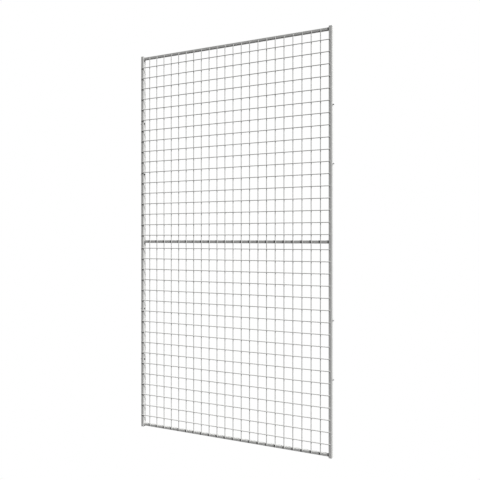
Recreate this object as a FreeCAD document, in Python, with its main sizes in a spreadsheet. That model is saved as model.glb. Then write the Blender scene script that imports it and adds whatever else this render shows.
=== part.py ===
import FreeCAD, Part
import math
import os

import Sketcher

V = FreeCAD.Vector

# ---------------------------------------------------------------- dimensions
# Welded-mesh safety fence panel, millimetres.  X runs from the left stile to the
# right one, Z is up, and the mesh is on the -Y side.  The origin is on the outer
# side face of the left stile, at the lower end of its tube and half-way through
# its depth.
DIMS = [
    ("panel_w", 1000.0),      # outer side face to outer side face of the stiles
    ("tube_len", 1896.0),     # stile tube, between its two end plugs
    ("stile_w", 15.0),        # seen from the front
    ("stile_d", 20.0),        # front to back
    ("stile_wall", 1.5),
    ("stile_r", 2.0),         # outside corner radius
    ("rail_h", 12.5),
    ("rail_d", 12.5),
    ("rail_wall", 1.5),
    ("rail_r", 2.0),
    ("mid_rail_h", 14.0),     # the middle rail is a little taller than the others
    ("mid_rail_up", 0.5),     # its centre, above the panel's mid-height
    ("rail_edge", 3.0),      # outer edge of the top and bottom rails from the tube's end
    ("pitch_x", 42.66),       # between upright wires
    ("pitch_z", 53.52),       # between cross wires
    ("mid_gap", 66.4),        # between the two cross wires either side of the middle rail
    ("bar_flat", 3.9),        # eight-sided bar with the area of a round 4 mm wire
    ("wire_lap", 7.5),        # cross wires end half-way across the face of the stile
    ("wire_short", 6.25),     # upright wires end half-way up the rail's face
    ("screw_low", 345.0),     # inner pair of screws, from the panel's mid-height
    ("screw_high", 605.0),    # outer pair
    ("thread_d", 6.0),
    ("thread_proud", 7.0),    # beyond the outer side face of the stile
    ("tip_bevel", 0.7),
    ("neck_d", 6.4),          # where the screw passes the tube's wall
    ("hole_d", 6.6),          # clearance hole in the outer wall
    ("head_d", 10.0),
    ("head_h", 4.0),
    ("socket_flat", 4.0),
    ("socket_depth", 2.3),
    ("key_hole_d", 10.5),     # hole in the inner wall, for the key and the head
    ("plug_flange", 2.0),
    ("plug_long", 12.0),
    ("plug_gap", 0.1),        # round the plug inside the tube
]
N_UP = 22                     # upright wires
N_CROSS = 17                  # cross wires in each of the two sheets

doc = FreeCAD.newDocument("safety_fence_panel")
sheet = doc.addObject("Spreadsheet::Sheet", "Dims")
for i, (name, value) in enumerate(DIMS, start=1):
    sheet.set("A%d" % i, name)
    sheet.set("B%d" % i, repr(value))
    sheet.setAlias("B%d" % i, name)
doc.recompute()
D = {name: value for name, value in DIMS}


def bind(obj, **exprs):
    """Ties properties to the sheet, with __ for the dots of a property's path."""
    for path, text in exprs.items():
        obj.setExpression(path.replace("__", "."), text)


def place(obj, x="0", y="0", z="0", rot=None):
    if rot is not None:
        obj.Placement = FreeCAD.Placement(V(0, 0, 0), rot)
    bind(obj, Placement__Base__x=x, Placement__Base__y=y, Placement__Base__z=z)


def plane(body, role):
    return next(f for f in body.Origin.OriginFeatures if f.Role == role)


def sketch_on(body, role, name):
    sk = body.newObject("Sketcher::SketchObject", name)
    sk.AttachmentSupport = [(plane(body, role), "")]
    sk.MapMode = "FlatFace"
    return sk


def round_rect(sk, tag, wide, tall, radius, w, h, r):
    """A rectangle with rounded corners about the sketch's origin: the first three
    are expressions, the last three their values to start from."""
    x, y = w / 2, h / 2
    seg = lambda a, b, c, d: sk.addGeometry(Part.LineSegment(V(a, b, 0), V(c, d, 0)))
    arc = lambda cx, cy, a0: sk.addGeometry(
        Part.ArcOfCircle(Part.Circle(V(cx, cy, 0), V(0, 0, 1), r), math.radians(a0), math.radians(a0 + 90))
    )
    low = seg(-x + r, -y, x - r, -y)
    c1 = arc(x - r, -y + r, 270)
    right = seg(x, -y + r, x, y - r)
    c2 = arc(x - r, y - r, 0)
    top = seg(x - r, y, -x + r, y)
    c3 = arc(-x + r, y - r, 90)
    left = seg(-x, y - r, -x, -y + r)
    c4 = arc(-x + r, -y + r, 180)
    ring = [low, c1, right, c2, top, c3, left, c4]
    C = Sketcher.Constraint
    for a, b in zip(ring, ring[1:] + ring[:1]):
        sk.addConstraint(C("Tangent", a, 2, b, 1))
    for g in (low, top):
        sk.addConstraint(C("Horizontal", g))
    for g in (left, right):
        sk.addConstraint(C("Vertical", g))
    for c in (c2, c3, c4):
        sk.addConstraint(C("Equal", c1, c))
    sk.addConstraint(C("Symmetric", low, 1, top, 1, -1, 1))
    for kind, args, text, value, key in (
        ("Radius", (c1,), radius, r, "r"),
        ("DistanceX", (left, 1, right, 1), wide, w, "w"),
        ("DistanceY", (low, 1, top, 1), tall, h, "h"),
    ):
        n = sk.addConstraint(C(kind, *args, value))
        sk.renameConstraint(n, tag + key)
        sk.setExpression("Constraints." + tag + key, text)


def pad(body, sk, name, length):
    p = body.newObject("PartDesign::Pad", name)
    p.Profile = sk
    bind(p, Length=length)
    return p


def round_holes(body, name, radius_expr, radius, offset_expr, offset, depth, reverse):
    """Four round holes across the stile's wall, about its mid-height."""
    sk = sketch_on(body, "YZ_Plane", name + "_sketch")
    if offset_expr:
        sk.AttachmentOffset = FreeCAD.Placement(V(0, 0, offset), FreeCAD.Rotation())
        sk.setExpression("AttachmentOffset.Base.z", offset_expr)
    C = Sketcher.Constraint
    first = None
    for k, (text, value) in enumerate(SCREW_Z):
        g = sk.addGeometry(Part.Circle(V(0, value, 0), V(0, 0, 1), radius))
        sk.addConstraint(C("PointOnObject", g, 3, -2))
        n = sk.addConstraint(C("DistanceY", -1, 1, g, 3, value))
        sk.renameConstraint(n, "z%d" % k)
        sk.setExpression("Constraints.z%d" % k, text)
        if first is None:
            first = g
            n = sk.addConstraint(C("Radius", g, radius))
            sk.renameConstraint(n, "r")
            sk.setExpression("Constraints.r", radius_expr)
        else:
            sk.addConstraint(C("Equal", first, g))
    cut = body.newObject("PartDesign::Pocket", name)
    cut.Profile = sk
    cut.Type = "Length"
    cut.Reversed = reverse
    bind(cut, Length=depth)
    return cut


mid = D["tube_len"] / 2
MID = "Dims.tube_len / 2"
# screws, from the lowest up
SCREW_Z = [
    (MID + " - Dims.screw_high", mid - D["screw_high"]),
    (MID + " - Dims.screw_low", mid - D["screw_low"]),
    (MID + " + Dims.screw_low", mid + D["screw_low"]),
    (MID + " + Dims.screw_high", mid + D["screw_high"]),
]
pieces = []


# ---------------------------------------------------------------- stiles
# A rectangular steel tube over the panel's whole height.  Four screws cross its
# outer wall, and a larger hole opposite each lets the key and the head in.  The
# right stile is the left one turned half round, so that its outer face is at the
# right.
def stile(name):
    body = doc.addObject("PartDesign::Body", name)
    sk = sketch_on(body, "XY_Plane", name + "_section")
    # drawn about the tube's centre line, half a width in from the outer face
    sk.AttachmentOffset = FreeCAD.Placement(V(D["stile_w"] / 2, 0, 0), FreeCAD.Rotation())
    sk.setExpression("AttachmentOffset.Base.x", "Dims.stile_w / 2")
    round_rect(sk, "o", "Dims.stile_w", "Dims.stile_d", "Dims.stile_r",
               D["stile_w"], D["stile_d"], D["stile_r"])
    t = D["stile_wall"]
    round_rect(sk, "i", "Dims.stile_w - 2 * Dims.stile_wall", "Dims.stile_d - 2 * Dims.stile_wall",
               "Dims.stile_r - Dims.stile_wall", D["stile_w"] - 2 * t, D["stile_d"] - 2 * t, D["stile_r"] - t)
    tube = pad(body, sk, name + "_tube", "Dims.tube_len")
    doc.recompute()
    whole = tube.Shape.Volume
    outer = round_holes(body, name + "_screw_holes", "Dims.hole_d / 2", D["hole_d"] / 2,
                        None, 0, "Dims.stile_wall + 1", True)
    doc.recompute()
    drilled = outer.Shape.Volume
    inner = round_holes(body, name + "_key_holes", "Dims.key_hole_d / 2", D["key_hole_d"] / 2,
                        "Dims.stile_w", D["stile_w"], "Dims.stile_wall + 1", False)
    doc.recompute()
    # each set of holes must take four discs of the wall away, no more and no less
    for took, d in ((whole - drilled, D["hole_d"]), (drilled - inner.Shape.Volume, D["key_hole_d"])):
        want = 4 * math.pi * d * d / 4 * t
        if abs(took - want) > 0.01 * want:
            raise SystemExit("%s: holes took %.1f mm3, %.1f expected" % (name, took, want))
    return body


left = stile("left_stile")
place(left)
right = stile("right_stile")
place(right, x="Dims.panel_w", rot=FreeCAD.Rotation(V(0, 0, 1), 180))
pieces += [left, right]


# ---------------------------------------------------------------- rails
# Three tubes butted between the stiles, centred in their depth: square at the top and
# the bottom, a little taller in the middle.
def rail(name, z, high="rail_h"):
    body = doc.addObject("PartDesign::Body", name)
    sk = sketch_on(body, "YZ_Plane", name + "_section")
    round_rect(sk, "o", "Dims.rail_d", "Dims." + high, "Dims.rail_r", D["rail_d"], D[high], D["rail_r"])
    t = D["rail_wall"]
    round_rect(sk, "i", "Dims.rail_d - 2 * Dims.rail_wall", "Dims.%s - 2 * Dims.rail_wall" % high,
               "Dims.rail_r - Dims.rail_wall", D["rail_d"] - 2 * t, D[high] - 2 * t, D["rail_r"] - t)
    pad(body, sk, name + "_tube", "Dims.panel_w - 2 * Dims.stile_w")
    place(body, x="Dims.stile_w", z=z)
    return body


pieces += [
    rail("bottom_rail", "Dims.rail_edge + Dims.rail_h / 2"),
    rail("middle_rail", MID + " + Dims.mid_rail_up", "mid_rail_h"),
    rail("top_rail", "Dims.tube_len - Dims.rail_edge - Dims.rail_h / 2"),
]

# ---------------------------------------------------------------- welded mesh
# Two sheets, above and below the panel's mid-height.  The upright wires lie
# on the faces of the rails; the cross wires lie in front of them, are sunk a little
# into them at each weld, and end on the faces of the stiles.
TURN = 180.0 / 8              # brings a flat of the eight-sided bar to the front
ABOUT_Z = FreeCAD.Rotation(V(0, 0, 1), TURN)
ALONG_X = FreeCAD.Rotation(V(0, 1, 0), 90) * FreeCAD.Rotation(V(0, 0, 1), TURN)
CORNER = "Dims.bar_flat / 2 / cos(22.5 deg)"
FIRST_X = "(Dims.panel_w - %d * Dims.pitch_x) / 2" % (N_UP - 1)


def bar(name, long, x, y, z, rot):
    b = doc.addObject("Part::Prism", name)
    b.Polygon = 8
    bind(b, Circumradius=CORNER, Height=long)
    place(b, x, y, z, rot)
    return b


def sheet_of_mesh(name, foot, z_of):
    bars = []
    for i in range(N_UP):
        bars.append(bar("%s_up_%d" % (name, i + 1),
                        MID + " - Dims.rail_edge - Dims.wire_short",
                        "%s + %d * Dims.pitch_x" % (FIRST_X, i),
                        "-Dims.rail_d / 2 - Dims.bar_flat / 2", foot, ABOUT_Z))
    for j in range(N_CROSS):
        bars.append(bar("%s_cross_%d" % (name, j + 1),
                        "Dims.panel_w - 2 * Dims.stile_w + 2 * Dims.wire_lap",
                        "Dims.stile_w - Dims.wire_lap",
                        "-Dims.stile_d / 2 - Dims.bar_flat / 2", z_of(j), ALONG_X))
    fused = doc.addObject("Part::MultiFuse", name)
    fused.Shapes = bars
    return fused


pieces += [
    sheet_of_mesh("upper_mesh", MID,
                  lambda j: "%s + Dims.mid_gap / 2 + %d * Dims.pitch_z" % (MID, j)),
    sheet_of_mesh("lower_mesh", "Dims.rail_edge + Dims.wire_short",
                  lambda j: "%s - Dims.mid_gap / 2 - %d * Dims.pitch_z" % (MID, j)),
]


# ---------------------------------------------------------------- screws
# A socket screw with a low head.  The head bears on the inside of the stile's outer
# wall and the thread stands out beyond it.  Made along +Z with the outer face of the
# stile at 0, then turned to point away from the panel.
def screw(name, x, z, turn):
    def rod(tag, diameter, height, z0):
        c = doc.addObject("Part::Cylinder", name + "_" + tag)
        bind(c, Radius=diameter + " / 2", Height=height)
        place(c, z=z0)
        return c

    thread = rod("thread", "Dims.thread_d", "Dims.thread_proud - Dims.tip_bevel", "0")
    neck = rod("neck", "Dims.neck_d", "Dims.stile_wall", "-Dims.stile_wall")
    head = rod("head", "Dims.head_d", "Dims.head_h", "-Dims.stile_wall - Dims.head_h")
    tip = doc.addObject("Part::Cone", name + "_tip")
    bind(tip, Radius1="Dims.thread_d / 2", Radius2="Dims.thread_d / 2 - Dims.tip_bevel", Height="Dims.tip_bevel")
    place(tip, z="Dims.thread_proud - Dims.tip_bevel")
    solid = doc.addObject("Part::MultiFuse", name + "_solid")
    solid.Shapes = [head, neck, thread, tip]
    socket = doc.addObject("Part::Prism", name + "_socket")
    socket.Polygon = 6
    bind(socket, Circumradius="Dims.socket_flat / 2 / cos(30 deg)", Height="Dims.socket_depth")
    place(socket, z="-Dims.stile_wall - Dims.head_h")
    cut = doc.addObject("Part::Cut", name)
    cut.Base = solid
    cut.Tool = socket
    place(cut, x=x, z=z, rot=turn)
    return cut


for k, (z, _) in enumerate(SCREW_Z, start=1):
    pieces.append(screw("left_screw_%d" % k, "0", z, FreeCAD.Rotation(V(0, 1, 0), -90)))
for k, (z, _) in enumerate(SCREW_Z, start=1):
    pieces.append(screw("right_screw_%d" % k, "Dims.panel_w", z, FreeCAD.Rotation(V(0, 1, 0), 90)))


# ---------------------------------------------------------------- end plugs
# A flange over the end of the stile's tube, with a block that fills the tube.
def plug(name, x, z, rot):
    body = doc.addObject("PartDesign::Body", name)
    sk = sketch_on(body, "XY_Plane", name + "_flange_outline")
    round_rect(sk, "o", "Dims.stile_w", "Dims.stile_d", "Dims.stile_r",
               D["stile_w"], D["stile_d"], D["stile_r"])
    pad(body, sk, name + "_flange", "Dims.plug_flange")
    sk = sketch_on(body, "XY_Plane", name + "_block_outline")
    t = D["stile_wall"] + D["plug_gap"]
    round_rect(sk, "b", "Dims.stile_w - 2 * (Dims.stile_wall + Dims.plug_gap)",
               "Dims.stile_d - 2 * (Dims.stile_wall + Dims.plug_gap)", "Dims.stile_r / 2",
               D["stile_w"] - 2 * t, D["stile_d"] - 2 * t, D["stile_r"] / 2)
    block = pad(body, sk, name + "_block", "Dims.plug_long")
    block.Reversed = True
    place(body, x=x, z=z, rot=rot)
    return body


OVER = FreeCAD.Rotation(V(1, 0, 0), 180)
for side, x in (("left", "Dims.stile_w / 2"), ("right", "Dims.panel_w - Dims.stile_w / 2")):
    pieces.append(plug(side + "_top_plug", x, "Dims.tube_len", FreeCAD.Rotation()))
    pieces.append(plug(side + "_bottom_plug", x, "0", OVER))

# ---------------------------------------------------------------- check and write
doc.recompute()
bad = [o.Name for o in doc.Objects if {"Invalid", "Error"} & set(o.State)]
if bad:
    raise SystemExit("not computed: " + ", ".join(bad))
for piece in pieces:
    s = piece.Shape
    if s.isNull() or not s.isValid() or len(s.Solids) != 1 or s.Volume <= 0:
        raise SystemExit("%s: not one valid solid" % piece.Label)

os.makedirs("parts", exist_ok=True)
for piece in pieces:
    piece.Shape.exportStep("parts/%s.step" % piece.Label)
    b = piece.Shape.BoundBox
    print("%-18s %9.1f mm3  %3d faces  x %.2f..%.2f  y %.2f..%.2f  z %.2f..%.2f" % (
        piece.Label, piece.Shape.Volume, len(piece.Shape.Faces),
        b.XMin, b.XMax, b.YMin, b.YMax, b.ZMin, b.ZMax))
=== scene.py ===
import math
import random

import bmesh
import bpy
from mathutils import Matrix, Vector


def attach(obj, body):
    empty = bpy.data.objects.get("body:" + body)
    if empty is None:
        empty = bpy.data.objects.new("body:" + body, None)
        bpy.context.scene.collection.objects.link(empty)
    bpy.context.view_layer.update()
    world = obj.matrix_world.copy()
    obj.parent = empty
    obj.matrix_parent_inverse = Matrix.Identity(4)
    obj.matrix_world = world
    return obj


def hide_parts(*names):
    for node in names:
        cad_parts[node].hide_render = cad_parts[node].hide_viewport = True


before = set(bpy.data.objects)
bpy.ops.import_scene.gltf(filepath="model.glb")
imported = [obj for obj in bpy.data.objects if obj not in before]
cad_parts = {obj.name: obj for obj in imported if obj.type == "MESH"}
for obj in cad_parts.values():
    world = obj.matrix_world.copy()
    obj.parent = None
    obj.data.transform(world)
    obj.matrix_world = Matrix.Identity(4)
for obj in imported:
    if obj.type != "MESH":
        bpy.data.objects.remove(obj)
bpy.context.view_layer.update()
scene = bpy.context.scene
rng = random.Random(41)
MM = 0.001

# ---------------------------------------------------------------- sizes, millimetres
PANEL_W = 1000.0
TUBE_LEN = 1896.0
MID_Z = TUBE_LEN / 2
STILE_W, STILE_D, STILE_R = 15.0, 20.0, 2.0
RAIL_H, RAIL_D, RAIL_R = 12.5, 12.5, 2.0
MID_RAIL_H, MID_RAIL_UP = 14.0, 0.5
RAIL_EDGE = 3.0
PITCH_X, PITCH_Z, MID_GAP = 42.66, 53.52, 66.4
N_UP, N_CROSS = 22, 17
WIRE_R = 2.0
UP_Y, CROSS_Y = -8.21, -11.96
UP_LOW, UP_HIGH = 9.25, 1886.75
CROSS_LOW, CROSS_HIGH = 7.5, 992.5
SCREW_Z = [MID_Z - 605.0, MID_Z - 345.0, MID_Z + 345.0, MID_Z + 605.0]
UP_X = [PANEL_W / 2 + (i - (N_UP - 1) / 2) * PITCH_X for i in range(N_UP)]
CROSS_Z = sorted(MID_Z + s * (MID_GAP / 2 + n * PITCH_Z) for s in (-1, 1) for n in range(N_CROSS))
RAIL_Z = {
    "bottom_rail": RAIL_EDGE + RAIL_H / 2,
    "middle_rail": MID_Z + MID_RAIL_UP,
    "top_rail": TUBE_LEN - RAIL_EDGE - RAIL_H / 2,
}


# ---------------------------------------------------------------- mesh helpers
class Build:
    """Vertices in millimetres and faces, turned into one object."""

    def __init__(self):
        self.v, self.f = [], []

    def ring(self, points):
        start = len(self.v)
        self.v += [tuple(p) for p in points]
        return list(range(start, len(self.v)))

    def bridge(self, a, b, closed=True):
        n = len(a)
        for i in range(n if closed else n - 1):
            j = (i + 1) % n
            self.f.append((a[i], a[j], b[j], b[i]))

    def fan(self, ring, centre, flip=False):
        c = len(self.v)
        self.v.append(tuple(centre))
        n = len(ring)
        for i in range(n):
            j = (i + 1) % n
            self.f.append((ring[j], ring[i], c) if flip else (ring[i], ring[j], c))

    def loft(self, rings, first=None, last=None):
        """Rings of equal length joined in turn, with a fan to a centre at either end."""
        ids = [self.ring(r) for r in rings]
        for a, b in zip(ids, ids[1:]):
            self.bridge(a, b)
        if first is not None:
            self.fan(ids[0], first, flip=True)
        if last is not None:
            self.fan(ids[-1], last)
        return ids

    def done(self, name, material, sharp=40.0):
        me = bpy.data.meshes.new(name)
        me.from_pydata([(x * MM, y * MM, z * MM) for x, y, z in self.v], [], self.f)
        bm = bmesh.new()
        bm.from_mesh(me)
        bmesh.ops.recalc_face_normals(bm, faces=bm.faces)
        for face in bm.faces:
            face.smooth = True
        bm.to_mesh(me)
        bm.free()
        me.set_sharp_from_angle(angle=math.radians(sharp))
        me.materials.append(material)
        ob = bpy.data.objects.new(name, me)
        scene.collection.objects.link(ob)
        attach(ob, "root")
        return ob


def circle(n, r, centre, u, v, turn=0.0):
    out = []
    for k in range(n):
        a = 2 * math.pi * k / n + turn
        out.append(tuple(centre[i] + r * (math.cos(a) * u[i] + math.sin(a) * v[i]) for i in range(3)))
    return out


def rounded(w, h, r, per=7):
    """Outline of a rounded rectangle about the origin, anticlockwise."""
    pts = []
    for cx, cy, a0 in ((w / 2 - r, h / 2 - r, 0), (-w / 2 + r, h / 2 - r, 90),
                       (-w / 2 + r, -h / 2 + r, 180), (w / 2 - r, -h / 2 + r, 270)):
        for k in range(per + 1):
            a = math.radians(a0 + 90 * k / per)
            pts.append((cx + r * math.cos(a), cy + r * math.sin(a)))
    return pts


# ---------------------------------------------------------------- materials
def node(tree, kind, **values):
    n = tree.nodes.new(kind)
    for key, value in values.items():
        if key in n.inputs:
            n.inputs[key].default_value = value
        else:
            setattr(n, key, value)
    return n


def coat(name, tone, grain, peel, rough, metallic=0.0, specular=0.15, depth=0.25):
    """A finish with a slow drift of tone, fine speckle, and a grain in its relief:
    tone is the mean grey, grain and peel are feature counts per metre."""
    mat = bpy.data.materials.new(name)
    mat.use_nodes = True
    t = mat.node_tree
    t.nodes.clear()
    out = node(t, "ShaderNodeOutputMaterial")
    bsdf = node(t, "ShaderNodeBsdfPrincipled")
    bsdf.inputs["Metallic"].default_value = metallic
    bsdf.inputs["Specular IOR Level"].default_value = specular
    t.links.new(bsdf.outputs["BSDF"], out.inputs["Surface"])
    co = node(t, "ShaderNodeTexCoord")
    obj = co.outputs["Object"]
    drift = node(t, "ShaderNodeTexNoise", Scale=5.0, Detail=3.0, Roughness=0.55)
    speck = node(t, "ShaderNodeTexNoise", Scale=grain, Detail=2.0, Roughness=0.6)
    relief = node(t, "ShaderNodeTexNoise", Scale=peel, Detail=3.0, Roughness=0.5)
    for n in (drift, speck, relief):
        t.links.new(obj, n.inputs["Vector"])
    both = node(t, "ShaderNodeMath", operation="MULTIPLY_ADD")
    both.inputs[1].default_value = 0.55
    t.links.new(speck.outputs["Fac"], both.inputs[0])
    half = node(t, "ShaderNodeMath", operation="MULTIPLY")
    half.inputs[1].default_value = 0.45
    t.links.new(drift.outputs["Fac"], half.inputs[0])
    t.links.new(half.outputs[0], both.inputs[2])
    ramp = node(t, "ShaderNodeValToRGB")
    ramp.color_ramp.elements[0].position = 0.33
    ramp.color_ramp.elements[1].position = 0.67
    ramp.color_ramp.elements[0].color = (*[c * 0.93 for c in tone], 1)
    ramp.color_ramp.elements[1].color = (*[c * 1.06 for c in tone], 1)
    t.links.new(both.outputs[0], ramp.inputs["Fac"])
    t.links.new(ramp.outputs["Color"], bsdf.inputs["Base Color"])
    span = node(t, "ShaderNodeMapRange")
    span.inputs["To Min"].default_value = rough[0]
    span.inputs["To Max"].default_value = rough[1]
    t.links.new(speck.outputs["Fac"], span.inputs["Value"])
    t.links.new(span.outputs["Result"], bsdf.inputs["Roughness"])
    bump = node(t, "ShaderNodeBump", Strength=depth, Distance=0.00025)
    t.links.new(relief.outputs["Fac"], bump.inputs["Height"])
    t.links.new(bump.outputs["Normal"], bsdf.inputs["Normal"])
    return mat


GREY = (0.42, 0.42, 0.411)
frame_mat = coat("powder_coat_tube", GREY, 1400.0, 520.0, (0.64, 0.78))
wire_mat = coat("powder_coat_wire", GREY, 1800.0, 700.0, (0.64, 0.78))
# the weld coat is rougher and 4% darker than the tubes': the rougher grain is the weld's own, the darker tone is
# painted shade at the joints where wires and rails meet the tubes
weld_mat = coat("powder_coat_weld", tuple(c * 0.96 for c in GREY), 1600.0, 900.0, (0.66, 0.80))
zinc_mat = coat("dull_zinc", (0.46, 0.46, 0.465), 2600.0, 1800.0, (0.34, 0.52), metallic=0.85, specular=0.5, depth=0.1)
plug_mat = coat("moulded_plastic", (0.40, 0.40, 0.40), 2200.0, 1500.0, (0.52, 0.64), specular=0.4)


def bare_inside_painted_shade(mat):
    """The side tubes are coated outside only: inside, seen through their holes, the steel is bare, and it is painted
    near-black as painted shade that deepens the holes."""
    t = mat.node_tree
    bsdf = next(n for n in t.nodes if n.type == "BSDF_PRINCIPLED")
    ramp = next(n for n in t.nodes if n.type == "VALTORGB")
    co = node(t, "ShaderNodeTexCoord")
    xyz = node(t, "ShaderNodeSeparateXYZ")
    t.links.new(co.outputs["Object"], xyz.inputs[0])

    def math_node(operation, source, *values):
        n = node(t, "ShaderNodeMath", operation=operation)
        t.links.new(source, n.inputs[0])
        for k, value in enumerate(values, start=1):
            n.inputs[k].default_value = value
        return n.outputs[0]

    deep = math_node("LESS_THAN", math_node("ABSOLUTE", xyz.outputs["Y"]), (STILE_D / 2 - 1.4) * MM)
    out = math_node("ABSOLUTE", math_node("SUBTRACT", xyz.outputs["X"], PANEL_W / 2 * MM))
    wide = math_node("COMPARE", out, (PANEL_W - STILE_W) / 2 * MM, (STILE_W / 2 - 1.4) * MM)
    inside = node(t, "ShaderNodeMath", operation="MULTIPLY")
    t.links.new(deep, inside.inputs[0])
    t.links.new(wide, inside.inputs[1])
    mix = node(t, "ShaderNodeMix", data_type="RGBA")
    t.links.new(inside.outputs[0], mix.inputs["Factor"])
    t.links.new(ramp.outputs["Color"], mix.inputs["A"])
    # near-black: bare steel darkened into painted shade inside the tube
    mix.inputs["B"].default_value = (0.05, 0.048, 0.046, 1)
    t.links.new(mix.outputs["Result"], bsdf.inputs["Base Color"])


# painted light: the side tubes' coat is the same powder coat as the rails', made 6% lighter to stand in for the
# brighter light falling on them
stile_mat = coat("powder_coat_stile_painted_light_and_shade", tuple(c * 1.06 for c in GREY), 1400.0, 520.0, (0.64, 0.78))
bare_inside_painted_shade(stile_mat)
for name in ("left_stile", "right_stile", "bottom_rail", "middle_rail", "top_rail"):
    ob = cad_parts[name]
    for s in ob.material_slots:
        s.material = stile_mat if name.endswith("stile") else frame_mat

# ---------------------------------------------------------------- wire mesh
X, Y, Z = (1, 0, 0), (0, 1, 0), (0, 0, 1)


def wire(b, start, end, u, v, r=WIRE_R, sides=20):
    """A straight wire with sheared, slightly rounded ends."""
    d = [end[i] - start[i] for i in range(3)]
    length = math.sqrt(sum(c * c for c in d))
    d = [c / length for c in d]
    at = lambda s: [start[i] + d[i] * s for i in range(3)]
    # a second full ring close to each end keeps the shading of the long run straight
    stations = [(0.0, r - 0.38), (0.16, r - 0.12), (0.42, r), (1.0, r), (length - 1.0, r),
                (length - 0.42, r), (length - 0.16, r - 0.12), (length, r - 0.38)]
    b.loft([circle(sides, rr, at(s), u, v) for s, rr in stations], first=at(0.0), last=at(length))


def blob(b, centre, size, around=12, rows=7, rough=0.05, axis=Y):
    """A small closed lump, an ellipsoid with an uneven surface."""
    cx, cy, cz = centre
    rings = []
    for k in range(1, rows):
        lat = -math.pi / 2 + math.pi * k / rows
        ring = []
        for j in range(around):
            lon = 2 * math.pi * j / around
            q = 1 + rng.uniform(-rough, rough)
            ring.append((cx + size[0] * q * math.cos(lat) * math.cos(lon),
                         cy + size[1] * q * math.sin(lat),
                         cz + size[2] * q * math.cos(lat) * math.sin(lon)))
        rings.append(ring)
    b.loft(rings, first=(cx, cy - size[1], cz), last=(cx, cy + size[1], cz))


b = Build()
for x in UP_X:
    wire(b, (x, UP_Y, UP_LOW), (x, UP_Y, UP_HIGH), X, Y)
for z in CROSS_Z:
    wire(b, (CROSS_LOW, CROSS_Y, z), (CROSS_HIGH, CROSS_Y, z), Y, Z)
wires = b.done("wire_mesh", wire_mat, sharp=50.0)
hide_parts("upper_mesh", "lower_mesh")

# the lump squeezed out between two wires where they are pressed and welded together
b = Build()
for x in UP_X:
    for z in CROSS_Z:
        s = rng.uniform(0.9, 1.1)
        blob(b, (x, (UP_Y + CROSS_Y) / 2, z), (2.3 * s, 1.05, 2.3 * rng.uniform(0.9, 1.1)), around=10, rows=6)
b.done("crossing_welds", wire_mat, sharp=80.0)

# where a wire is welded along the face of a tube
b = Build()
for x in UP_X:
    for name, z in RAIL_Z.items():
        middle = name == "middle_rail"
        # at the top and bottom rails the wire ends half-way up the face
        zc = z if middle else z + math.copysign(2.4, MID_Z - z)
        blob(b, (x, -RAIL_D / 2 + 0.1, zc), (2.4 * rng.uniform(0.92, 1.08), 1.0, (3.9 if middle else 2.7) * rng.uniform(0.92, 1.05)), around=14, rows=8)
for z in CROSS_Z:
    for x in (10.2, PANEL_W - 10.2):
        blob(b, (x, -STILE_D / 2 + 0.1, z), (3.0 * rng.uniform(0.92, 1.06), 1.0, 2.4 * rng.uniform(0.92, 1.08)), around=14, rows=8)
b.done("tube_welds", weld_mat, sharp=80.0)


# ---------------------------------------------------------------- weld beads, rail to stile
def bead(b, x0, into, z0, h):
    """A rippled fillet round the end of a rail of height h, on the inner face of a stile:
    into is +1 for a rail that runs to the right from x0, -1 to the left."""
    # points round the rail's outline, 0.5 mm apart, with outward normals
    w, r = RAIL_D, RAIL_R
    dense = []
    straight = [((w / 2, -h / 2 + r), (w / 2, h / 2 - r), (1, 0)), ((w / 2 - r, h / 2), (-w / 2 + r, h / 2), (0, 1)),
                ((-w / 2, h / 2 - r), (-w / 2, -h / 2 + r), (-1, 0)), ((-w / 2 + r, -h / 2), (w / 2 - r, -h / 2), (0, -1))]
    corners = [((w / 2 - r, h / 2 - r), 0), ((-w / 2 + r, h / 2 - r), 90), ((-w / 2 + r, -h / 2 + r), 180), ((w / 2 - r, -h / 2 + r), 270)]
    for (a, c, nrm), (cc, a0) in zip(straight, corners):
        n = max(2, round(math.dist(a, c) / 0.45))
        for k in range(n):
            dense.append((a[0] + (c[0] - a[0]) * k / n, a[1] + (c[1] - a[1]) * k / n, nrm))
        for k in range(7):
            q = math.radians(a0 + 90 * k / 7)
            dense.append((cc[0] + r * math.cos(q), cc[1] + r * math.sin(q), (math.cos(q), math.sin(q))))
    n = len(dense)
    slow = [rng.uniform(-1, 1) for _ in range(9)]
    rings = []
    for k, (py, pz, (ny, nz)) in enumerate(dense):
        u = 9 * k / n
        i, f = int(u) % 9, u - int(u)
        wander = slow[i] * (1 - f) + slow[(i + 1) % 9] * f
        leg = 1.75 + 0.16 * wander + 0.13 * math.sin(2 * math.pi * k / 2.9)
        # front and back: the flat of the stile's face ends 1.75 mm beyond the rail
        side = min(leg, 1.7) if abs(ny) > 0.7 else leg
        prof = [(-0.35, -0.3), (side + 0.1, -0.45), (side * 0.92, 0.12), (side * 0.62, 0.52 * leg), (side * 0.30, 0.84 * leg),
                (0.06, leg), (-0.35, leg * 0.95)]
        rings.append([(x0 + into * along, py + ny * out, z0 + pz + nz * out) for out, along in prof])
    ids = [b.ring(q) for q in rings]
    for p, q in zip(ids, ids[1:] + ids[:1]):
        b.bridge(p, q)


b = Build()
for name, z in RAIL_Z.items():
    h = MID_RAIL_H if name == "middle_rail" else RAIL_H
    bead(b, STILE_W, 1, z, h)
    bead(b, PANEL_W - STILE_W, -1, z, h)
b.done("rail_welds", weld_mat, sharp=60.0)

# ---------------------------------------------------------------- screws
SEGS = 24
PITCH = 1.0


def thread_r(s, angle):
    """Radius of the M6 thread at a place along it and round it."""
    q = (s / PITCH - angle / (2 * math.pi)) % 1.0
    root, crest = 2.42, 3.0
    if q < 0.25:
        return root
    if q < 0.5625:
        return root + (crest - root) * (q - 0.25) / 0.3125
    if q < 0.6875:
        return crest
    return crest - (crest - root) * (q - 0.6875) / 0.3125


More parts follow.
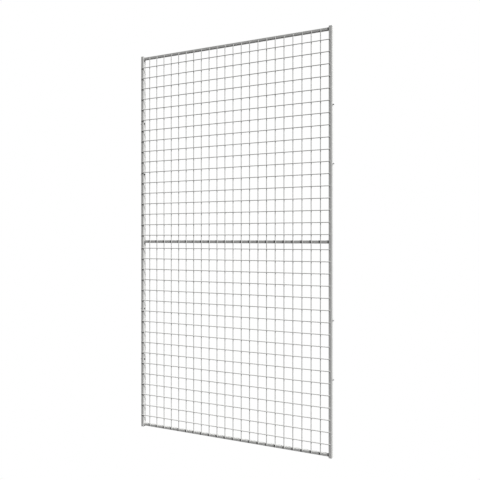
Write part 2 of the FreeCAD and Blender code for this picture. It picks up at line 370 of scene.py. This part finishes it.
def screw(name, x_face, out, z):
    """out is the direction in which the thread points, -1 or +1 along X; x_face is the
    outer face of the stile."""
    b = Build()
    rings = []

    def put(s, radius):
        # s runs out of the stile along the screw, zero on its face
        ring = []
        for k in range(SEGS):
            a = 2 * math.pi * k / SEGS
            r = radius(a) if callable(radius) else radius
            ring.append((x_face + out * s, r * math.cos(a) * out, z + r * math.sin(a)))
        rings.append(ring)

    tip = 7.0
    put(tip, 2.1)
    put(tip - 0.05, 2.3)
    steps = 84
    for k in range(steps + 1):
        s = tip - 0.1 - (tip - 0.1 - 0.15) * k / steps
        lim = 2.35 + (tip - s) * 1.0
        put(s, lambda a, s=s, lim=lim: min(thread_r(s, a), lim))
    for s, r in ((0.0, 3.0), (-0.02, 3.2), (-1.3, 3.2), (-1.5, 3.35), (-1.505, 4.75), (-1.72, 5.0), (-5.2, 5.0), (-5.5, 4.72), (-5.5, 2.62)):
        put(s, r)
    hexa = lambda a: 2.0 / math.cos((a + math.pi / 6) % (math.pi / 3) - math.pi / 6)
    put(-5.28, lambda a: hexa(a) * 1.005)
    put(-3.25, hexa)
    put(-3.2, 1.6)
    b.loft(rings, first=(x_face + out * tip, 0, z), last=(x_face - out * 2.75, 0, z))
    ob = b.done(name + "_threaded", zinc_mat, sharp=38.0)
    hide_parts(name)


for i, z in enumerate(SCREW_Z, start=1):
    screw("left_screw_%d" % i, 0.0, -1, z)
    screw("right_screw_%d" % i, PANEL_W, 1, z)


# ---------------------------------------------------------------- end plugs
def plug(name, x, z, up):
    """A moulded plug: rounded flange over the tube's end and a tapered body inside it."""
    b = Build()
    rings = []

    def put(s, inset, r):
        # s from the tube's end outwards
        rings.append([(x + px, py, z + up * s) for px, py in rounded(STILE_W - 2 * inset, STILE_D - 2 * inset, r)])

    put(-12.0, 2.4, 0.35)
    put(-11.2, 1.9, 0.45)
    for s in (-9.0, -6.0, -3.0):
        put(s - 0.5, 1.85, 0.45)
        put(s, 1.62, 0.5)
        put(s + 0.5, 1.85, 0.45)
    put(0.0, 1.62, 0.5)
    put(0.0, 0.3, 1.7)
    put(0.1, 0.1, 1.9)
    put(0.3, 0.0, 2.0)
    put(1.6, 0.0, 2.0)
    for k in range(1, 6):
        a = math.radians(18 * k)
        put(1.6 + 0.35 * math.sin(a), 0.35 * (1 - math.cos(a)), 2.0 - 0.35 * (1 - math.cos(a)))
    put(1.96, 2.4, 0.9)
    put(1.99, 4.6, 0.6)
    b.loft(rings, first=(x, 0, z - up * 12.0), last=(x, 0, z + up * 2.0))
    ob = b.done(name + "_moulded", plug_mat, sharp=35.0)
    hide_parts(name)


for side, x in (("left", STILE_W / 2), ("right", PANEL_W - STILE_W / 2)):
    plug(side + "_top_plug", x, TUBE_LEN, 1)
    plug(side + "_bottom_plug", x, 0.0, -1)

# ---------------------------------------------------------------- floor, light, camera
def glow(name):
    mat = bpy.data.materials.new(name)
    mat.use_nodes = True
    t = mat.node_tree
    t.nodes.clear()
    out = node(t, "ShaderNodeOutputMaterial")
    em = node(t, "ShaderNodeEmission")
    em.inputs["Color"].default_value = (1, 1, 1, 1)
    em.inputs["Strength"].default_value = 1.0
    t.links.new(em.outputs[0], out.inputs["Surface"])
    return mat


def camera_only(ob):
    ob.visible_diffuse = ob.visible_glossy = ob.visible_transmission = ob.visible_volume_scatter = ob.visible_shadow = False


white = glow("white_studio")
me = bpy.data.meshes.new("floor")
me.from_pydata([(-60, -60, -0.002), (60, -60, -0.002), (60, 60, -0.002), (-60, 60, -0.002)], [], [(0, 1, 2, 3)])
me.materials.append(white)
floor = bpy.data.objects.new("floor", me)
scene.collection.objects.link(floor)
bm = bmesh.new()
bmesh.ops.create_uvsphere(bm, u_segments=48, v_segments=24, radius=55.0)
me = bpy.data.meshes.new("backdrop")
bm.to_mesh(me)
bm.free()
me.materials.append(white)
backdrop = bpy.data.objects.new("backdrop", me)
scene.collection.objects.link(backdrop)
for ob in (floor, backdrop):
    camera_only(ob)

world = bpy.data.worlds.new("studio")
scene.world = world
world.use_nodes = True
world.node_tree.nodes["Background"].inputs["Color"].default_value = (1, 1, 1, 1)
world.node_tree.nodes["Background"].inputs["Strength"].default_value = 0.02


def lamp(name, az, el, energy, angle):
    """A distant soft light: az is degrees to the right of the panel's front, 180 behind it."""
    sun = bpy.data.lights.new(name, "SUN")
    sun.energy = energy
    sun.angle = math.radians(angle)
    ob = bpy.data.objects.new(name, sun)
    scene.collection.objects.link(ob)
    a, e = math.radians(az), math.radians(el)
    ob.rotation_euler = Vector((math.sin(a) * math.cos(e), -math.cos(a) * math.cos(e), math.sin(e))).to_track_quat("Z", "Y").to_euler()


lamp("key", 64, 37, 5.0, 10)
lamp("overhead", 0, 88, 2.2, 25)
lamp("rear", 162, 34, 1.9, 40)
lamp("side", 100, 22, 1.1, 20)
lamp("below", 0, -88, 1.3, 30)
lamp("left", -75, 15, 0.5, 30)

cam = bpy.data.cameras.new("camera")
cam.sensor_fit = "HORIZONTAL"
cam.sensor_width = 36.0
cam.lens = 538.8 * 36.0 / 480.0
cam.clip_start, cam.clip_end = 0.05, 200.0
camera = bpy.data.objects.new("camera", cam)
scene.collection.objects.link(camera)
az, el = math.radians(24.305), math.radians(0.1105)
back = Vector((math.sin(az) * math.cos(el), -math.cos(az) * math.cos(el), math.sin(el)))
right = Vector((math.cos(az), math.sin(az), 0.0))
up = back.cross(right)
m = Matrix((right, up, back)).transposed().to_4x4()
m.translation = Vector((1.6042, -2.3261, 0.9617))
camera.matrix_world = m
scene.camera = camera

scene.view_settings.view_transform = "Standard"
scene.view_settings.look = "None"
scene.view_settings.exposure = 0.0
scene.view_settings.gamma = 1.0
